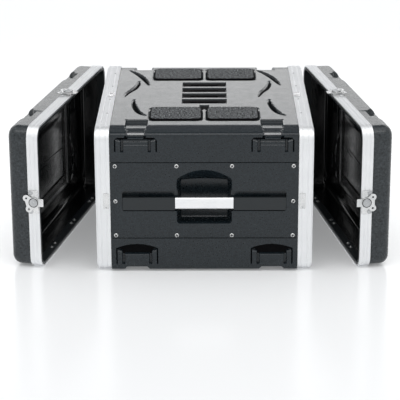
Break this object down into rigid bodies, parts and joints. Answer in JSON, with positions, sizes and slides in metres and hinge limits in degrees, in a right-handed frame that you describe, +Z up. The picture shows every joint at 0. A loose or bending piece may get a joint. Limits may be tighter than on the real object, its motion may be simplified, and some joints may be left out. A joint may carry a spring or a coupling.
{
  "type": "equipment rack case",
  "caption": "Moulded equipment rack case with metal edge valances, recessed side handles and two lift-off lids with twist latches, shown open.",
  "frame": {"origin": "on the floor under the middle of the case body, on the flat centre foot of the bottom shell", "axes": "+X along the case from the front opening to the rear opening, +Y to the case's left side (the side the lids swing from), +Z up"},
  "size_m": [0.8876, 0.6055, 0.3552],
  "materials": {
    "shell_black": "pebble-grained moulded plastic, charcoal",
    "lid_black": "moulded plastic, grained outside and smooth inside",
    "cover_black": "smooth satin plastic",
    "valance_aluminium": "bright satin extrusion with lengthwise ridges",
    "grip_aluminium": "bright satin extrusion with fine ridges",
    "latch_nickel": "nickel plated, satin",
    "rail_black": "black powder coat"
  },
  "bodies": {
    "case": {"top_shell": "shell_black", "bottom_shell": "shell_black", "side_panel_right": "shell_black", "handle_bar_right": "grip_aluminium", "handle_cover_right_front": "cover_black", "handle_cover_right_rear": "cover_black", "side_panel_left": "shell_black", "handle_bar_left": "grip_aluminium", "handle_cover_left_front": "cover_black", "handle_cover_left_rear": "cover_black", "rack_rail_front_right": "rail_black", "rack_rail_front_left": "rail_black", "front_body_valance": "valance_aluminium", "front_keeper_top": "latch_nickel", "front_keeper_right": "latch_nickel", "front_keeper_left": "latch_nickel", "rack_rail_rear_right": "rail_black", "rack_rail_rear_left": "rail_black", "rear_body_valance": "valance_aluminium", "rear_keeper_top": "latch_nickel", "rear_keeper_right": "latch_nickel", "rear_keeper_left": "latch_nickel"},
    "front_lid": {"front_lid_shell": "lid_black", "front_lid_valance": "valance_aluminium", "front_latch_base_top": "latch_nickel", "front_latch_base_right": "latch_nickel", "front_latch_base_left": "latch_nickel"},
    "front_wing_top": {"front_latch_wing_top": "latch_nickel"},
    "front_hook_top": {"front_latch_hook_top": "latch_nickel"},
    "front_wing_right": {"front_latch_wing_right": "latch_nickel"},
    "front_hook_right": {"front_latch_hook_right": "latch_nickel"},
    "front_wing_left": {"front_latch_wing_left": "latch_nickel"},
    "front_hook_left": {"front_latch_hook_left": "latch_nickel"},
    "rear_lid": {"rear_lid_shell": "lid_black", "rear_lid_valance": "valance_aluminium", "rear_latch_base_top": "latch_nickel", "rear_latch_base_right": "latch_nickel", "rear_latch_base_left": "latch_nickel"},
    "rear_wing_top": {"rear_latch_wing_top": "latch_nickel"},
    "rear_hook_top": {"rear_latch_hook_top": "latch_nickel"},
    "rear_wing_right": {"rear_latch_wing_right": "latch_nickel"},
    "rear_hook_right": {"rear_latch_hook_right": "latch_nickel"},
    "rear_wing_left": {"rear_latch_wing_left": "latch_nickel"},
    "rear_hook_left": {"rear_latch_hook_left": "latch_nickel"}
  },
  "joints": [
    {"name": "front_lid_swing", "type": "hinge", "parent": "case", "child": "front_lid", "pos_m": [-0.249, 0.358, 0], "axis": [0, 0, 1], "range_deg": [0, 11.9]},
    {"name": "front_top_wing_turn", "type": "hinge", "parent": "front_lid", "child": "front_wing_top", "pos_m": [-0.33544, 0.01035, 0.348], "axis": [0, 0, 1], "range_deg": [0, 180]},
    {"name": "front_top_hook_slide", "type": "slide", "parent": "front_lid", "child": "front_hook_top", "axis": [0.9785, -0.2062, 0], "range_m": [0, 0.0055]},
    {"name": "front_right_wing_turn", "type": "hinge", "parent": "front_lid", "child": "front_wing_right", "pos_m": [-0.39627, -0.27831, 0.168], "axis": [-0.2062, -0.9785, 0], "range_deg": [0, 180]},
    {"name": "front_right_hook_slide", "type": "slide", "parent": "front_lid", "child": "front_hook_right", "axis": [0.9785, -0.2062, 0], "range_m": [0, 0.0055]},
    {"name": "front_left_wing_turn", "type": "hinge", "parent": "front_lid", "child": "front_wing_left", "pos_m": [-0.27461, 0.29901, 0.168], "axis": [0.2062, 0.9785, 0], "range_deg": [0, 180]},
    {"name": "front_left_hook_slide", "type": "slide", "parent": "front_lid", "child": "front_hook_left", "axis": [0.9785, -0.2062, 0], "range_m": [0, 0.0055]},
    {"name": "rear_lid_swing", "type": "hinge", "parent": "case", "child": "rear_lid", "pos_m": [0.249, 0.358, 0], "axis": [0, 0, -1], "range_deg": [0, 10.1]},
    {"name": "rear_top_wing_turn", "type": "hinge", "parent": "rear_lid", "child": "rear_wing_top", "pos_m": [0.32448, 0.00781, 0.348], "axis": [0, 0, 1], "range_deg": [0, 180]},
    {"name": "rear_top_hook_slide", "type": "slide", "parent": "rear_lid", "child": "rear_hook_top", "axis": [-0.9845, -0.1754, 0], "range_m": [0, 0.0055]},
    {"name": "rear_right_wing_turn", "type": "hinge", "parent": "rear_lid", "child": "rear_wing_right", "pos_m": [0.37621, -0.28262, 0.168], "axis": [0.1754, -0.9845, 0], "range_deg": [0, 180]},
    {"name": "rear_right_hook_slide", "type": "slide", "parent": "rear_lid", "child": "rear_hook_right", "axis": [-0.9845, -0.1754, 0], "range_m": [0, 0.0055]},
    {"name": "rear_left_wing_turn", "type": "hinge", "parent": "rear_lid", "child": "rear_wing_left", "pos_m": [0.27275, 0.29824, 0.168], "axis": [-0.1754, 0.9845, 0], "range_deg": [0, 180]},
    {"name": "rear_left_hook_slide", "type": "slide", "parent": "rear_lid", "child": "rear_hook_left", "axis": [-0.9845, -0.1754, 0], "range_m": [0, 0.0055]}
  ],
  "couplings": [
    {"joint": "front_top_hook_slide", "follows": "front_top_wing_turn", "m_per_rad": 0.00175},
    {"joint": "front_right_hook_slide", "follows": "front_right_wing_turn", "m_per_rad": 0.00175},
    {"joint": "front_left_hook_slide", "follows": "front_left_wing_turn", "m_per_rad": 0.00175},
    {"joint": "rear_top_hook_slide", "follows": "rear_top_wing_turn", "m_per_rad": 0.00175},
    {"joint": "rear_right_hook_slide", "follows": "rear_right_wing_turn", "m_per_rad": 0.00175},
    {"joint": "rear_left_hook_slide", "follows": "rear_left_wing_turn", "m_per_rad": 0.00175}
  ]
}
